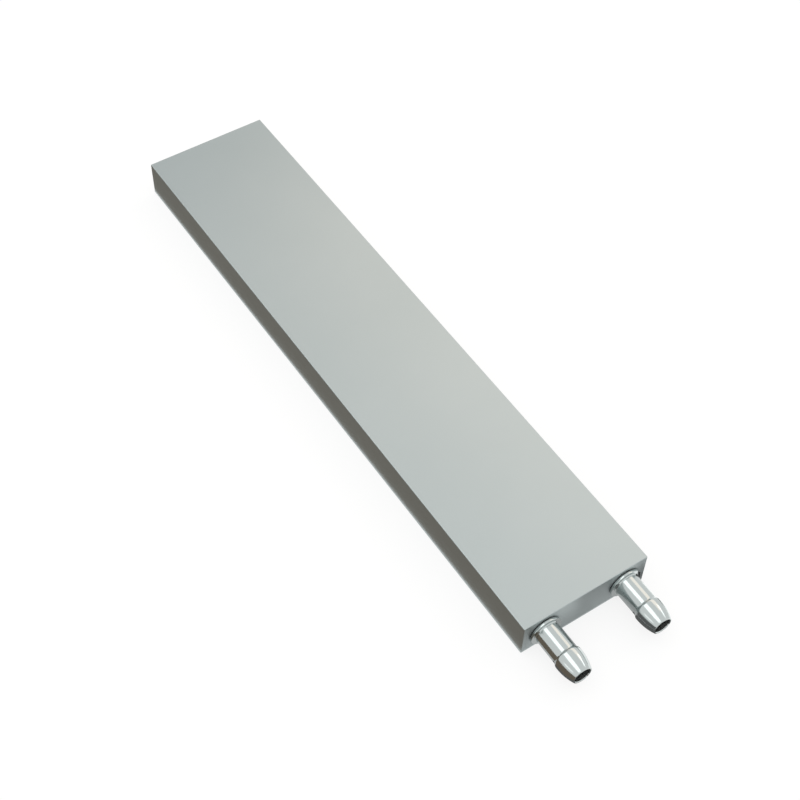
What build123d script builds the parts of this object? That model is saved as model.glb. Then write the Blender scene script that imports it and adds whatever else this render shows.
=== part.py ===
from build123d import *
from math import isclose
import os

# Liquid cooling block: a flat aluminium extrusion with two finned coolant passages side by side,
# closed at each end by a plate. The coolant enters through one hose nozzle, runs the length of the
# block, turns round at the far end and comes back to the other nozzle.
# X runs across the block, Y along it and away from the nozzles, Z up. The origin is the centre of
# the bottom face. All sizes are in millimetres.

# Block
block_length = 200.0
block_width = 40.0
block_height = 12.0
wall = 2.0
web_thickness = 2.0
long_edge_radius = 0.25
end_edge_break = 0.15

# Fins inside the passages
fins_per_comb = 6
fin_height = 1.8
fin_root_thickness = 1.2
fin_tip_thickness = 0.8
fin_tip_flat = 0.2
passage_corner_radius = 0.6
inlet_chamber_length = 8.0
turn_chamber_length = 14.0

# End plates
plate_thickness = 2.5
plate_ledge = 0.8
plate_corner_radius = 1.0
braze_gap = 0.03

# Hose nozzles, measured outwards from the end face
nozzle_side_distance = 7.0
nozzle_reach = 16.0
tube_radius = 3.6
tube_wall = 1.2
shank_step = 0.4
shank_gap = 0.03
collar_overhang = 1.2
collar_thickness = 0.7
collar_edge_break = 0.15
root_chamfer = 0.25
neck_length = 8.15
barb_step = 0.4
barb_ramp = 0.6
barb_land = 0.65
nose_drop = 1.15
lip_chamfer = 0.15
mouth_chamfer = 0.2
rim_share_of_wall = 0.45
shank_chamfer = 0.3

# Seal rings between the collars and the end face
seal_thickness = 0.25
seal_inset = 0.15
seal_gap = 0.1

# Sizes that follow from those above
half_length = block_length / 2
mid_height = block_height / 2
passage_height = block_height - 2 * wall
cavity_width = block_width - 2 * wall
passage_width = (cavity_width - web_thickness) / 2
passage_centre = (passage_width + web_thickness) / 2
fin_pitch = passage_width / fins_per_comb
fin_tip_radius = (fin_tip_thickness - fin_tip_flat) / 2
recess_width = cavity_width + 2 * plate_ledge
recess_height = passage_height + 2 * plate_ledge
nozzle_centre = block_width / 2 - nozzle_side_distance
bore_radius = tube_radius - tube_wall
shank_radius = tube_radius - shank_step
collar_radius = tube_radius + collar_overhang
barb_radius = tube_radius + barb_step
tip_radius = barb_radius - nose_drop
rim_limit = rim_share_of_wall * (tip_radius - bore_radius)
lip_break = min(lip_chamfer, rim_limit)
mouth_break = min(mouth_chamfer, rim_limit)
collar_back = seal_thickness
collar_front = collar_back + collar_thickness
barb_start = collar_front + neck_length
barb_top = barb_start + barb_ramp
nose_start = barb_top + barb_land
same_radius = 0.001

os.makedirs("parts", exist_ok=True)


def end_plane(side):
    """The plane of an end face, with X across and Z up: -1 is the nozzle end, 1 the far end."""
    return Plane.XZ.offset(-side * half_length)


def fin_seats(height):
    """Where the fins of both passages stand, at this height in the section."""
    seats = []
    for centre in (-passage_centre, passage_centre):
        for number in range(fins_per_comb):
            across = centre + (number - (fins_per_comb - 1) / 2) * fin_pitch
            seats.append((across, height))
    return seats


def plate_outline():
    """The outline of an end plate, a braze gap smaller all round than its recess."""
    with Locations((0, mid_height)):
        RectangleRounded(
            recess_width - 2 * braze_gap,
            recess_height - 2 * braze_gap,
            plate_corner_radius - braze_gap,
        )


def turned_rings(piece, radius):
    """The circular edges of a nozzle that have this radius, from its tip inwards."""
    circles = piece.edges().filter_by(GeomType.CIRCLE)
    alike = circles.filter_by(lambda ring: isclose(ring.radius, radius, abs_tol=same_radius))
    return alike.sort_by(Axis.Y)


# One cooling fin in section: a tapered blade with a rounded tip.
with BuildSketch() as fin_section:
    with BuildLine():
        Polyline(
            (-fin_root_thickness / 2, 0),
            (-fin_tip_thickness / 2, fin_height),
            (fin_tip_thickness / 2, fin_height),
            (fin_root_thickness / 2, 0),
            close=True,
        )
    make_face()
    fillet(fin_section.vertices().group_by(Axis.Y)[-1], fin_tip_radius)

# Channel body: one extrusion, then milled at both ends.
with BuildPart() as channel_body:
    with BuildSketch(Plane.XZ):
        with Locations((0, mid_height)):
            RectangleRounded(block_width, block_height, long_edge_radius)
        with Locations((-passage_centre, mid_height), (passage_centre, mid_height)):
            RectangleRounded(passage_width, passage_height, passage_corner_radius, mode=Mode.SUBTRACT)
        with Locations(*fin_seats(wall)):
            add(fin_section.sketch)
        with Locations(*fin_seats(block_height - wall)):
            add(fin_section.sketch, rotation=180)
    extrude(amount=half_length, both=True)

    # The sharp rim of each end is broken all round.
    chamfer(channel_body.faces().sort_by(Axis.Y)[0].outer_wire().edges(), end_edge_break)
    chamfer(channel_body.faces().sort_by(Axis.Y)[-1].outer_wire().edges(), end_edge_break)

    # A recess in each end, a ledge wider than the passages, takes the end plate.
    for side in (-1, 1):
        with BuildSketch(end_plane(side)):
            with Locations((0, mid_height)):
                RectangleRounded(recess_width, recess_height, plate_corner_radius)
        extrude(amount=side * plate_thickness, mode=Mode.SUBTRACT)

    # Behind the nozzles the fins are milled away, so that the coolant spreads over its passage.
    with BuildSketch(end_plane(-1)):
        with Locations((-passage_centre, mid_height), (passage_centre, mid_height)):
            RectangleRounded(passage_width, passage_height, passage_corner_radius)
    extrude(amount=-(plate_thickness + inlet_chamber_length), mode=Mode.SUBTRACT)

    # At the far end the fins and the web stop short, so that the coolant turns round.
    with BuildSketch(end_plane(1)):
        with Locations((0, mid_height)):
            RectangleRounded(cavity_width, passage_height, passage_corner_radius)
    extrude(amount=plate_thickness + turn_chamber_length, mode=Mode.SUBTRACT)

channel_body.part.label = "channel_body"
export_step(channel_body.part, "parts/channel_body.step")

# Rear end plate: a blank plate brazed flush into its recess.
with BuildPart() as rear_end_plate:
    with BuildSketch(end_plane(1)):
        plate_outline()
    extrude(amount=plate_thickness)

rear_end_plate.part.label = "rear_end_plate"
export_step(rear_end_plate.part, "parts/rear_end_plate.step")

# Front end plate: the same blank with a hole for each nozzle's shank.
with BuildPart() as front_end_plate:
    with BuildSketch(end_plane(-1)):
        plate_outline()
        with Locations((-nozzle_centre, mid_height), (nozzle_centre, mid_height)):
            Circle(shank_radius + shank_gap, mode=Mode.SUBTRACT)
    extrude(amount=-plate_thickness)

front_end_plate.part.label = "front_end_plate"
export_step(front_end_plate.part, "parts/front_end_plate.step")

# Hose nozzles: turned in one piece, with a shank in the plate, a collar that clamps the seal ring,
# a neck, and a barb with a bulged nose that the hose is pushed over.
for name, across in (("inlet_nozzle", -nozzle_centre), ("outlet_nozzle", nozzle_centre)):
    foot = (across, -half_length, mid_height)
    turning_axis = Axis(foot, (0, -1, 0))
    # In this plane the first number is the radius and the second the distance out of the end face.
    with BuildPart() as nozzle:
        with BuildSketch(Plane(origin=foot, x_dir=(1, 0, 0), z_dir=(0, 0, -1))):
            with BuildLine():
                Polyline(
                    (bore_radius, nozzle_reach),
                    (bore_radius, -plate_thickness),
                    (shank_radius, -plate_thickness),
                    (shank_radius, collar_back),
                    (collar_radius, collar_back),
                    (collar_radius, collar_front),
                    (tube_radius, collar_front),
                    (tube_radius, barb_start),
                    (barb_radius, barb_top),
                    (barb_radius, nose_start),
                )
                TangentArc((barb_radius, nose_start), (tip_radius, nozzle_reach), tangent=(0, 1))
                Line((tip_radius, nozzle_reach), (bore_radius, nozzle_reach))
            make_face()
        revolve(axis=turning_axis)
        chamfer(turned_rings(nozzle, collar_radius)[-2:], collar_edge_break)
        chamfer(turned_rings(nozzle, tube_radius)[-1], root_chamfer)
        chamfer(turned_rings(nozzle, tip_radius)[0], lip_break)
        chamfer(turned_rings(nozzle, bore_radius)[0], mouth_break)
        chamfer(turned_rings(nozzle, shank_radius)[-1], shank_chamfer)
    nozzle.part.label = name
    export_step(nozzle.part, f"parts/{name}.step")

# Seal rings: thin flat rings squeezed between each collar and the end face.
for name, across in (("inlet_seal_ring", -nozzle_centre), ("outlet_seal_ring", nozzle_centre)):
    with BuildPart() as seal_ring:
        with BuildSketch(end_plane(-1)):
            with Locations((across, mid_height)):
                Circle(collar_radius - seal_inset)
                Circle(shank_radius + seal_gap, mode=Mode.SUBTRACT)
        extrude(amount=seal_thickness)
    seal_ring.part.label = name
    export_step(seal_ring.part, f"parts/{name}.step")
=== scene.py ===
import bpy
import math
from mathutils import Matrix, Vector


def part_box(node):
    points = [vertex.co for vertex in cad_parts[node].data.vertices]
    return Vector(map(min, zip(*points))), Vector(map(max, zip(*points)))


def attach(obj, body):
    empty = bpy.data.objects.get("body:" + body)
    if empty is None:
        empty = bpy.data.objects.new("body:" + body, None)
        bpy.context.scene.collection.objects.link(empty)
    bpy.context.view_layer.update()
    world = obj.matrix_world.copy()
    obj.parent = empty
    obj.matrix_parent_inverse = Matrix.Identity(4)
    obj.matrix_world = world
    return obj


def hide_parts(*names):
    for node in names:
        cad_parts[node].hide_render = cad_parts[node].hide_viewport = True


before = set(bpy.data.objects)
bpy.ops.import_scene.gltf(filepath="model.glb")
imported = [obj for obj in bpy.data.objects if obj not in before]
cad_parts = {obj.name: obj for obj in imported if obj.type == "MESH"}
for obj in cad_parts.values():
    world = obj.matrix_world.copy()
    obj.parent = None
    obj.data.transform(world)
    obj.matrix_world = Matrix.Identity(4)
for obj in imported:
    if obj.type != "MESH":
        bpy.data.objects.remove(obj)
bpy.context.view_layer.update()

# Channel body: an aluminium extrusion milled at both ends, then fine-blasted and clear anodised.
# The plates that close its ends are brazed in flush and finished together with it, so all three
# share one skin.
ALLOY = "#B1BABA"
ALLOY_THIN_OXIDE = "#B9C1C1"
ALLOY_ROUGHNESS = 0.5
BLAST_GRAIN_MM = 0.35
BLAST_DEPTH_MM = 0.006
CLOUD_MM = 45.0
PIT_STRENGTH = 0.5


def linear(hex_colour):
    """A colour as written on screen, turned into the linear light that a shader takes."""
    channels = [int(hex_colour[place:place + 2], 16) / 255 for place in (1, 3, 5)]
    light = [c / 12.92 if c <= 0.04045 else ((c + 0.055) / 1.055) ** 2.4 for c in channels]
    return (*light, 1.0)


def node(tree, kind, settings=None, inputs=None):
    """Adds one node. Settings are its own properties; an input is a value or a socket to link from."""
    made = tree.nodes.new(kind)
    for name, value in (settings or {}).items():
        setattr(made, name, value)
    for name, value in (inputs or {}).items():
        if isinstance(value, bpy.types.NodeSocket):
            tree.links.new(value, made.inputs[name])
        else:
            made.inputs[name].default_value = value
    return made


def empty_material(name):
    """A material with no nodes yet, and its tree."""
    material = bpy.data.materials.new(name)
    material.use_nodes = True
    material.node_tree.nodes.clear()
    return material, material.node_tree


def per_metre(millimetres):
    """How many times a pattern of this size repeats in a metre, for a texture's Scale."""
    return 1000 / millimetres


def blasted_anodised_aluminium():
    """Matte metal: a broad soft sheen, faint clouds in the oxide and a grain like very fine sand."""
    material, tree = empty_material("blasted_anodised_aluminium")
    place = node(tree, "ShaderNodeTexCoord").outputs["Object"]
    clouds = node(tree, "ShaderNodeTexNoise", None, {
        "Vector": place, "Scale": per_metre(CLOUD_MM), "Detail": 3.0, "Roughness": 0.55})
    tone = node(tree, "ShaderNodeMix", {"data_type": "RGBA"}, {
        "Factor": clouds.outputs["Fac"], "A": linear(ALLOY), "B": linear(ALLOY_THIN_OXIDE)})
    # Blast grit leaves pits well under 0.1 mm, too fine to show, so the grain is drawn coarser.
    grain = node(tree, "ShaderNodeTexNoise", None, {
        "Vector": place, "Scale": per_metre(BLAST_GRAIN_MM), "Detail": 2.0, "Roughness": 0.6})
    pits = node(tree, "ShaderNodeBump", None, {
        "Strength": PIT_STRENGTH, "Distance": BLAST_DEPTH_MM / 1000, "Height": grain.outputs["Fac"]})
    skin = node(tree, "ShaderNodeBsdfPrincipled", None, {
        "Base Color": tone.outputs["Result"], "Metallic": 1.0, "Roughness": ALLOY_ROUGHNESS,
        "Normal": pits.outputs["Normal"]})
    node(tree, "ShaderNodeOutputMaterial", None, {"Surface": skin.outputs["BSDF"]})
    return material


def finish(name, material):
    """Gives a CAD node this material on every face."""
    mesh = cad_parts[name].data
    mesh.materials.clear()
    mesh.materials.append(material)


body_skin = blasted_anodised_aluminium()
for name in ("channel_body", "front_end_plate", "rear_end_plate"):
    finish(name, body_skin)

# Hose nozzles: each turned in one piece from bright aluminium bar and bored through. The shank goes
# through the seal ring into the end plate until the collar seats. Bright turned metal shows every
# facet of the plain solid, so a finer mesh of the same form stands for it.
TURNED = "#BDC4C3"
TURNED_ROUGHNESS = 0.14
TURNED_ANISOTROPY = 0.5
ALONG_THE_AXIS = 0.25
TOOL_PITCH_MM = 0.22
TOOL_DEPTH_MM = 0.0004
# The bore wall's colour is darker than the turned metal: painted shade inside the deep, dim bore.
DRILLED_WALL_PAINTED_SHADE = "#A4A7A5"
DRILLED_ROUGHNESS = 0.34
DRILL_PITCH_MM = 0.5
DRILL_DEPTH_MM = 0.008
# Radii of the turned profile, in millimetres.
BORE_RADIUS = 2.4
SHANK_RADIUS = 3.2
TUBE_RADIUS = 3.6
BARB_RADIUS = 4.0
TIP_RADIUS = 2.85
COLLAR_RADIUS = 4.8
# Distances out of the end face, in millimetres.
SHANK_END = -2.5
COLLAR_BACK = 0.25
COLLAR_FRONT = 0.95
BARB_START = 9.1
BARB_TOP = 9.7
NOSE_START = 10.35
TIP = 16.0
# Edges, in millimetres.
SHANK_CHAMFER = 0.3
COLLAR_EASE = 0.15
ROOT_CHAMFER = 0.25
BARB_EASE = 0.3
LIP_EASE = 0.15
MOUTH_CHAMFER = 0.2
EASE_STEPS = 4
NOSE_STEPS = 20
TURNED_SIDES = 160
SHARP_ANGLE = math.radians(30)


def turned_aluminium():
    """Bright metal with clear reflections, drawn out along the axis by the rings of the tool."""
    material, tree = empty_material("bright_turned_aluminium")
    place = node(tree, "ShaderNodeTexCoord").outputs["Object"]
    along = node(tree, "ShaderNodeSeparateXYZ", None, {"Vector": place}).outputs["Y"]
    feed = node(tree, "ShaderNodeTexNoise", {"noise_dimensions": "1D"}, {
        "W": along, "Scale": per_metre(TOOL_PITCH_MM), "Detail": 1.0})
    marks = node(tree, "ShaderNodeBump", None, {
        "Strength": 1.0, "Distance": TOOL_DEPTH_MM / 1000, "Height": feed.outputs["Fac"]})
    around = node(tree, "ShaderNodeTangent", {"direction_type": "RADIAL", "axis": "Y"})
    metal = node(tree, "ShaderNodeBsdfPrincipled", None, {
        "Base Color": linear(TURNED), "Metallic": 1.0, "Roughness": TURNED_ROUGHNESS,
        "Anisotropic": TURNED_ANISOTROPY, "Anisotropic Rotation": ALONG_THE_AXIS,
        "Tangent": around.outputs["Tangent"], "Normal": marks.outputs["Normal"]})
    node(tree, "ShaderNodeOutputMaterial", None, {"Surface": metal.outputs["BSDF"]})
    return material


def drilled_aluminium_painted_shade():
    """The wall of the bore: the same metal with the rougher spiral of the drill, its colour drawn darker as
    painted shade of the deep bore.
    """
    material, tree = empty_material("drilled_aluminium_painted_shade")
    place = node(tree, "ShaderNodeTexCoord").outputs["Object"]
    along = node(tree, "ShaderNodeSeparateXYZ", None, {"Vector": place}).outputs["Y"]
    scores = node(tree, "ShaderNodeTexNoise", {"noise_dimensions": "1D"}, {
        "W": along, "Scale": per_metre(DRILL_PITCH_MM), "Detail": 2.0})
    marks = node(tree, "ShaderNodeBump", None, {
        "Strength": 1.0, "Distance": DRILL_DEPTH_MM / 1000, "Height": scores.outputs["Fac"]})
    metal = node(tree, "ShaderNodeBsdfPrincipled", None, {
        "Base Color": linear(DRILLED_WALL_PAINTED_SHADE), "Metallic": 1.0, "Roughness": DRILLED_ROUGHNESS,
        "Normal": marks.outputs["Normal"]})
    node(tree, "ShaderNodeOutputMaterial", None, {"Surface": metal.outputs["BSDF"]})
    return material


def eased_corner(before, corner, after, size):
    """The points of a small round in place of a corner, starting and ending this far from it."""
    start = corner + size * (before - corner).normalized()
    end = corner + size * (after - corner).normalized()
    shares = [step / EASE_STEPS for step in range(EASE_STEPS + 1)]
    return [(1 - t) ** 2 * start + 2 * t * (1 - t) * corner + t * t * end for t in shares]


def outer_profile():
    """The turned outline from the shank's end to the mouth, as (radius, distance) in millimetres."""
    nose_drop = BARB_RADIUS - TIP_RADIUS
    nose_length = TIP - NOSE_START
    nose_round = (nose_drop ** 2 + nose_length ** 2) / (2 * nose_drop)
    nose_turn = math.asin(nose_length / nose_round)
    nose = []
    for step in range(NOSE_STEPS + 1):
        turn = nose_turn * step / NOSE_STEPS
        radius = BARB_RADIUS - nose_round * (1 - math.cos(turn))
        nose.append(Vector((radius, NOSE_START + nose_round * math.sin(turn))))
    tip = nose.pop()
    mouth = Vector((BORE_RADIUS + MOUTH_CHAMFER, TIP))
    bore_start = Vector((BORE_RADIUS, TIP - MOUTH_CHAMFER))
    collar_back = Vector((COLLAR_RADIUS, COLLAR_BACK))
    collar_front = Vector((COLLAR_RADIUS, COLLAR_FRONT))
    barb_start = Vector((TUBE_RADIUS, BARB_START))
    barb_top = Vector((BARB_RADIUS, BARB_TOP))
    return [
        Vector((BORE_RADIUS, SHANK_END)),
        Vector((SHANK_RADIUS - SHANK_CHAMFER, SHANK_END)),
        Vector((SHANK_RADIUS, SHANK_END + SHANK_CHAMFER)),
        Vector((SHANK_RADIUS, COLLAR_BACK)),
        *eased_corner(Vector((SHANK_RADIUS, COLLAR_BACK)), collar_back, collar_front, COLLAR_EASE),
        *eased_corner(collar_back, collar_front, Vector((TUBE_RADIUS, COLLAR_FRONT)), COLLAR_EASE),
        Vector((TUBE_RADIUS + ROOT_CHAMFER, COLLAR_FRONT)),
        Vector((TUBE_RADIUS, COLLAR_FRONT + ROOT_CHAMFER)),
        *eased_corner(Vector((TUBE_RADIUS, COLLAR_FRONT)), barb_start, barb_top, BARB_EASE),
        *eased_corner(barb_start, barb_top, nose[0], BARB_EASE),
        *nose,
        *eased_corner(nose[-1], tip, mouth, LIP_EASE),
        mouth,
        bore_start,
    ]


def lathe(name, foot, materials):
    """Turns the profile about the nozzle's axis. The bore's wall takes the second material."""
    profile = outer_profile()
    rings = len(profile)
    points = []
    for side in range(TURNED_SIDES):
        angle = 2 * math.pi * side / TURNED_SIDES
        for radius, distance in profile:
            across = radius * math.cos(angle)
            upward = radius * math.sin(angle)
            points.append(foot + Vector((across, -distance, upward)) / 1000)
    faces = []
    drilled = []
    for side in range(TURNED_SIDES):
        near = side * rings
        far = (side + 1) % TURNED_SIDES * rings
        for ring in range(rings):
            following = (ring + 1) % rings
            faces.append((near + ring, near + following, far + following, far + ring))
            drilled.append(ring == rings - 1)
    mesh = bpy.data.meshes.new(name)
    mesh.from_pydata(points, [], faces)
    for material in materials:
        mesh.materials.append(material)
    mesh.polygons.foreach_set("material_index", [int(inside) for inside in drilled])
    mesh.shade_smooth()
    mesh.set_sharp_from_angle(angle=SHARP_ANGLE)
    made = bpy.data.objects.new(name, mesh)
    bpy.context.scene.collection.objects.link(made)
    return made


turned_skins = (turned_aluminium(), drilled_aluminium_painted_shade())
for flow in ("inlet", "outlet"):
    lowest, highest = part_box(f"{flow}_nozzle")
    foot = Vector((
        (lowest[0] + highest[0]) / 2,
        lowest[1] + TIP / 1000,
        (lowest[2] + highest[2]) / 2))
    nozzle = lathe(f"{flow}_nozzle_turned", foot, turned_skins)
    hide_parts(f"{flow}_nozzle")
    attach(nozzle, "root")

# Seal rings: flat washers punched from black nitrile rubber sheet, squeezed between each collar
# and the end face, so that only their dark rim shows.
NITRILE = "#1B1C1D"
NITRILE_ROUGHNESS = 0.55
NITRILE_IOR = 1.52
DUST_MM = 0.5
DUST_DULLS_BY = 0.15


def nitrile_rubber():
    """Black sheet rubber: almost no colour and a dull sheen."""
    material, tree = empty_material("nitrile_rubber")
    place = node(tree, "ShaderNodeTexCoord").outputs["Object"]
    dust = node(tree, "ShaderNodeTexNoise", None, {"Vector": place, "Scale": per_metre(DUST_MM)})
    dull = node(tree, "ShaderNodeMapRange", None, {
        "Value": dust.outputs["Fac"], "To Min": NITRILE_ROUGHNESS,
        "To Max": NITRILE_ROUGHNESS + DUST_DULLS_BY})
    rubber = node(tree, "ShaderNodeBsdfPrincipled", None, {
        "Base Color": linear(NITRILE), "Roughness": dull.outputs["Result"], "IOR": NITRILE_IOR})
    node(tree, "ShaderNodeOutputMaterial", None, {"Surface": rubber.outputs["BSDF"]})
    return material


rubber_skin = nitrile_rubber()
for name in ("inlet_seal_ring", "outlet_seal_ring"):
    finish(name, rubber_skin)

# Studio: a white sweep under the block, as for a catalogue picture. The metal takes its light from
# four soft lamps and a white sky, and its darker tones from cards set round it.
PAPER = "#F6F6F5"
WHITE = "#FFFFFF"
FLOOR_HALF = 3.0
FLOOR_GLOW = 0.8


def seen_directly(tree):
    """1 for what the camera sees straight, in metal or through glass, and 0 for soft light."""
    rays = node(tree, "ShaderNodeLightPath")
    mirrored = node(tree, "ShaderNodeMath", {"operation": "MAXIMUM"}, {
        0: rays.outputs["Is Camera Ray"], 1: rays.outputs["Is Glossy Ray"]})
    return node(tree, "ShaderNodeMath", {"operation": "MAXIMUM"}, {
        0: mirrored.outputs[0], 1: rays.outputs["Is Transmission Ray"]}).outputs[0]


def white_sweep():
    """Paper that reads as white and still takes the block's shadow."""
    material, tree = empty_material("white_sweep")
    paper = node(tree, "ShaderNodeBsdfDiffuse", None, {"Color": linear(PAPER)})
    glow = node(tree, "ShaderNodeEmission", None, {"Color": linear(WHITE), "Strength": 1.0})
    share = node(tree, "ShaderNodeMath", {"operation": "MULTIPLY"}, {0: seen_directly(tree), 1: FLOOR_GLOW})
    blend = node(tree, "ShaderNodeMixShader", None, {
        0: share.outputs[0], 1: paper.outputs["BSDF"], 2: glow.outputs["Emission"]})
    node(tree, "ShaderNodeOutputMaterial", None, {"Surface": blend.outputs["Shader"]})
    return material


def panel(name, material, centre, x_axis, y_axis):
    """A flat rectangle, given by its centre and its two half sides. It isn't part of the object."""
    corners = [(-1, -1), (1, -1), (1, 1), (-1, 1)]
    mesh = bpy.data.meshes.new(name)
    points = [Vector(centre) + u * Vector(x_axis) + v * Vector(y_axis) for u, v in corners]
    mesh.from_pydata(points, [], [(0, 1, 2, 3)])
    mesh.materials.append(material)
    made = bpy.data.objects.new(name, mesh)
    bpy.context.scene.collection.objects.link(made)
    return made


panel("floor", white_sweep(), (0, 0, 0), (FLOOR_HALF, 0, 0), (0, FLOOR_HALF, 0))

# World: plain white all round, at the level where a colour renders as it is written.
world = bpy.data.worlds.new("soft_white")
world.use_nodes = True
tree = world.node_tree
tree.nodes.clear()
sky = node(tree, "ShaderNodeBackground", None, {"Color": linear(WHITE), "Strength": 1.0})
node(tree, "ShaderNodeOutputWorld", None, {"Surface": sky.outputs["Background"]})
bpy.context.scene.world = world


def softbox(name, place, size, power, colour=WHITE):
    """An area lamp turned towards the block: its size is (along Y, across), its power in watts."""
    data = bpy.data.lights.new(name, "AREA")
    data.shape = "RECTANGLE"
    data.size, data.size_y = size
    data.energy = power
    data.color = linear(colour)[:3]
    lamp = bpy.data.objects.new(name, data)
    bpy.context.scene.collection.objects.link(lamp)
    lamp.location = place
    lamp.rotation_mode = "QUATERNION"
    lamp.rotation_quaternion = (-Vector(place)).to_track_quat("-Z", "Y")
    return lamp


softbox("key", place=(-0.34, 0.0, 0.94), size=(1.2, 0.5), power=1.9)
softbox("right_strip", place=(0.78, -0.15, 0.62), size=(0.4, 0.16), power=0.25)
softbox("left_strip", place=(-0.93, -0.15, 0.34), size=(0.4, 0.16), power=0.12)
# The fill stands close on the right, so that it warms and lifts that side of the top face.
softbox("fill", place=(0.11, 0.03, 0.13), size=(0.3, 0.08), power=0.047, colour="#FFE0C4")


def reflector(name, level, centre, x_axis, y_axis, colour=WHITE):
    """A card that only metal sees, as a photographer shades bright metal with grey and black card."""
    material, tree = empty_material(name)
    glow = node(tree, "ShaderNodeEmission", None, {"Color": linear(colour), "Strength": level})
    node(tree, "ShaderNodeOutputMaterial", None, {"Surface": glow.outputs["Emission"]})
    card = panel(name, material, centre, x_axis, y_axis)
    card.visible_camera = False
    card.visible_diffuse = False
    card.visible_shadow = False
    return card


# Cards flat on the floor, just above it so that they never meet it. The side card tones down the
# block's left side, the end cards its nozzle end, and the last two the flanks of the nozzles.
CARD_LIFT = 0.0005
SIDE_CARD_COLOUR = "#7C7165"
END_CARD_ALONG = -0.1033
END_CARD_HALF_DEPTH = 0.0032
# From left to right, as (left edge, right edge, level).
END_CARDS = [(-0.0205, -0.009, 0.64), (-0.009, 0.004, 0.48), (0.004, 0.02, 0.55), (0.02, 0.045, 0.05)]
NOZZLE_CARD_ALONG = -0.1155
NOZZLE_CARD_HALF_LENGTH = 0.009
NOZZLE_CARD_LEVEL = 0.15
reflector("side_card", 1.0, (-0.5205, 0.1, CARD_LIFT), (0.5, 0, 0), (0, 0.5, 0), SIDE_CARD_COLOUR)
for number, (left, right, level) in enumerate(END_CARDS):
    middle = ((left + right) / 2, END_CARD_ALONG, CARD_LIFT)
    reflector(f"end_card_{number}", level, middle, ((right - left) / 2, 0, 0), (0, END_CARD_HALF_DEPTH, 0))
for name, across, half_width in (("inlet_card", -0.0155, 0.005), ("outlet_card", 0.00875, 0.00825)):
    middle = (across, NOZZLE_CARD_ALONG, CARD_LIFT)
    reflector(name, NOZZLE_CARD_LEVEL, middle, (half_width, 0, 0), (0, NOZZLE_CARD_HALF_LENGTH, 0))

# Upright cards to the right of each nozzle, two back to back: white towards the nozzle on their
# left, and dark on the other side.
FLAG_HEIGHT = 0.004
FLAG_HALF_HEIGHT = 0.0035
FLAG_GAP = 0.0002


def flag_pair(prefix, across, along, half_length, white_level, dark_level):
    """A white card with a dark one just to its right, both standing along the nozzles."""
    for name, side, level in (("white_flag", -1, white_level), ("black_flag", 1, dark_level)):
        middle = (across + side * FLAG_GAP / 2, along, FLAG_HEIGHT)
        reflector(prefix + name, level, middle, (0, half_length, 0), (0, 0, FLAG_HALF_HEIGHT))


flag_pair("", across=0.0, along=-0.116, half_length=0.01, white_level=1.3, dark_level=0.15)
flag_pair("outlet_", across=0.0186, along=-0.1135, half_length=0.011, white_level=1.3, dark_level=0.1)

# A grey card behind the block tones down the far end of the top face.
reflector("back_card", 0.6, (0.2, 0.9, 0.55), (0.5, 0, 0), (0, -0.15, 0.3))

# Camera: solved from the block's edges in the photograph.
CAMERA_PLACE = (-0.1554, -0.2359, 0.3463)
CAMERA_RIGHT = (0.8332, -0.5526, 0.0193)
CAMERA_UP = (0.4258, 0.6635, 0.6152)
CAMERA_LENS = 68.03
SENSOR_WIDTH = 36.0
CLIP_START = 0.01
camera_data = bpy.data.cameras.new("camera")
camera_data.sensor_width = SENSOR_WIDTH
camera_data.lens = CAMERA_LENS
camera_data.clip_start = CLIP_START
camera = bpy.data.objects.new("camera", camera_data)
bpy.context.scene.collection.objects.link(camera)
right = Vector(CAMERA_RIGHT).normalized()
up = Vector(CAMERA_UP)
up = (up - up.dot(right) * right).normalized()
back = right.cross(up)
turn = Matrix((right, up, back)).transposed().to_4x4()
camera.matrix_world = Matrix.Translation(CAMERA_PLACE) @ turn
bpy.context.scene.camera = camera
bpy.context.scene.view_settings.view_transform = "Standard"
